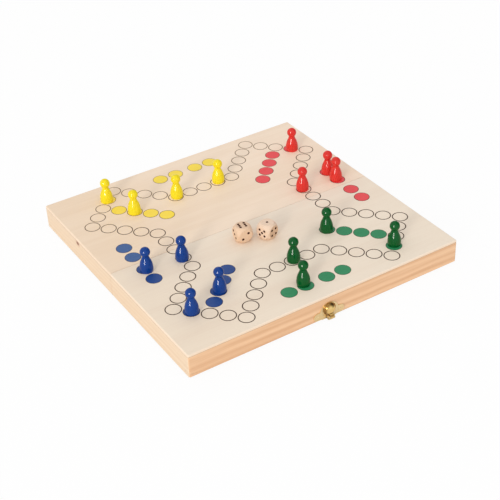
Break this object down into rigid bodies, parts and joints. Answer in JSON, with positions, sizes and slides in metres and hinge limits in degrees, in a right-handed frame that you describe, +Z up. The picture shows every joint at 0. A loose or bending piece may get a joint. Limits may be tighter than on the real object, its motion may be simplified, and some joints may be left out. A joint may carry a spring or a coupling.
{
  "type": "folding tock board",
  "caption": "Folding wooden race-game board with trays under its halves, butt hinges, a brass hasp, turned pawns and wooden dice.",
  "frame": {"origin": "on the surface the open board rests on, under the middle of the seam", "axes": "+X along the seam to the right, +Y across the seam to the far half, +Z up out of the printed face"},
  "size_m": [0.2916, 0.2929, 0.0507],
  "materials": {
    "panel_veneer": "pale beige printed panel, satin",
    "pine": "clear satin varnish",
    "brass": "polished pressed sheet",
    "pawn_yellow": "gloss yellow lacquer",
    "pawn_blue": "gloss blue lacquer",
    "pawn_red": "gloss red lacquer",
    "pawn_green": "gloss green lacquer",
    "die_wood": "natural satin"
  },
  "bodies": {
    "near_half": {"near_panel": "panel_veneer", "near_outer_rail": "pine", "near_inner_rail": "pine", "near_left_rail": "pine", "near_right_rail": "pine", "near_hinge_screws": "brass", "left_hinge_near_leaf": "brass", "right_hinge_near_leaf": "brass", "left_hinge_pin": "brass", "right_hinge_pin": "brass", "latch_plate": "brass", "latch_pin": "brass", "latch_nails": "brass"},
    "far_half": {"far_panel": "panel_veneer", "far_outer_rail": "pine", "far_inner_rail": "pine", "far_left_rail": "pine", "far_right_rail": "pine", "far_hinge_screws": "brass", "left_hinge_far_leaf": "brass", "right_hinge_far_leaf": "brass", "strike_plate": "brass", "strike_nails": "brass"},
    "hasp": {"latch_hasp": "brass"},
    "pawn_yellow_1_body": {"pawn_yellow_1": "pawn_yellow"},
    "pawn_yellow_2_body": {"pawn_yellow_2": "pawn_yellow"},
    "pawn_yellow_3_body": {"pawn_yellow_3": "pawn_yellow"},
    "pawn_yellow_4_body": {"pawn_yellow_4": "pawn_yellow"},
    "pawn_red_1_body": {"pawn_red_1": "pawn_red"},
    "pawn_red_2_body": {"pawn_red_2": "pawn_red"},
    "pawn_red_3_body": {"pawn_red_3": "pawn_red"},
    "pawn_red_4_body": {"pawn_red_4": "pawn_red"},
    "pawn_blue_1_body": {"pawn_blue_1": "pawn_blue"},
    "pawn_blue_2_body": {"pawn_blue_2": "pawn_blue"},
    "pawn_blue_3_body": {"pawn_blue_3": "pawn_blue"},
    "pawn_blue_4_body": {"pawn_blue_4": "pawn_blue"},
    "pawn_green_1_body": {"pawn_green_1": "pawn_green"},
    "pawn_green_2_body": {"pawn_green_2": "pawn_green"},
    "pawn_green_3_body": {"pawn_green_3": "pawn_green"},
    "pawn_green_4_body": {"pawn_green_4": "pawn_green"},
    "die_left_body": {"die_left": "die_wood"},
    "die_right_body": {"die_right": "die_wood"}
  },
  "joints": [
    {"name": "board_fold", "type": "hinge", "parent": "near_half", "child": "far_half", "pos_m": [0, 0, 0.0011], "axis": [-1, 0, 0], "range_deg": [0, 180]},
    {"name": "hasp_swing", "type": "hinge", "parent": "near_half", "child": "hasp", "pos_m": [0, -0.1451, 0.00375], "axis": [1, 0, 0], "range_deg": [0, 180]},
    {"name": "pawn_yellow_1_lift", "type": "slide", "parent": "far_half", "child": "pawn_yellow_1_body", "axis": [0, 0, 1], "range_m": [0, 0.04]},
    {"name": "pawn_yellow_2_lift", "type": "slide", "parent": "far_half", "child": "pawn_yellow_2_body", "axis": [0, 0, 1], "range_m": [0, 0.04]},
    {"name": "pawn_yellow_3_lift", "type": "slide", "parent": "far_half", "child": "pawn_yellow_3_body", "axis": [0, 0, 1], "range_m": [0, 0.04]},
    {"name": "pawn_yellow_4_lift", "type": "slide", "parent": "far_half", "child": "pawn_yellow_4_body", "axis": [0, 0, 1], "range_m": [0, 0.04]},
    {"name": "pawn_red_1_lift", "type": "slide", "parent": "far_half", "child": "pawn_red_1_body", "axis": [0, 0, 1], "range_m": [0, 0.04]},
    {"name": "pawn_red_2_lift", "type": "slide", "parent": "far_half", "child": "pawn_red_2_body", "axis": [0, 0, 1], "range_m": [0, 0.04]},
    {"name": "pawn_red_3_lift", "type": "slide", "parent": "far_half", "child": "pawn_red_3_body", "axis": [0, 0, 1], "range_m": [0, 0.04]},
    {"name": "pawn_red_4_lift", "type": "slide", "parent": "far_half", "child": "pawn_red_4_body", "axis": [0, 0, 1], "range_m": [0, 0.04]},
    {"name": "pawn_blue_1_lift", "type": "slide", "parent": "near_half", "child": "pawn_blue_1_body", "axis": [0, 0, 1], "range_m": [0, 0.04]},
    {"name": "pawn_blue_2_lift", "type": "slide", "parent": "near_half", "child": "pawn_blue_2_body", "axis": [0, 0, 1], "range_m": [0, 0.04]},
    {"name": "pawn_blue_3_lift", "type": "slide", "parent": "near_half", "child": "pawn_blue_3_body", "axis": [0, 0, 1], "range_m": [0, 0.04]},
    {"name": "pawn_blue_4_lift", "type": "slide", "parent": "near_half", "child": "pawn_blue_4_body", "axis": [0, 0, 1], "range_m": [0, 0.04]},
    {"name": "pawn_green_1_lift", "type": "slide", "parent": "near_half", "child": "pawn_green_1_body", "axis": [0, 0, 1], "range_m": [0, 0.04]},
    {"name": "pawn_green_2_lift", "type": "slide", "parent": "near_half", "child": "pawn_green_2_body", "axis": [0, 0, 1], "range_m": [0, 0.04]},
    {"name": "pawn_green_3_lift", "type": "slide", "parent": "near_half", "child": "pawn_green_3_body", "axis": [0, 0, 1], "range_m": [0, 0.04]},
    {"name": "pawn_green_4_lift", "type": "slide", "parent": "near_half", "child": "pawn_green_4_body", "axis": [0, 0, 1], "range_m": [0, 0.04]},
    {"name": "die_left_lift", "type": "slide", "parent": "near_half", "child": "die_left_body", "axis": [0, 0, 1], "range_m": [0, 0.04]},
    {"name": "die_right_lift", "type": "slide", "parent": "near_half", "child": "die_right_body", "axis": [0, 0, 1], "range_m": [0, 0.04]}
  ]
}
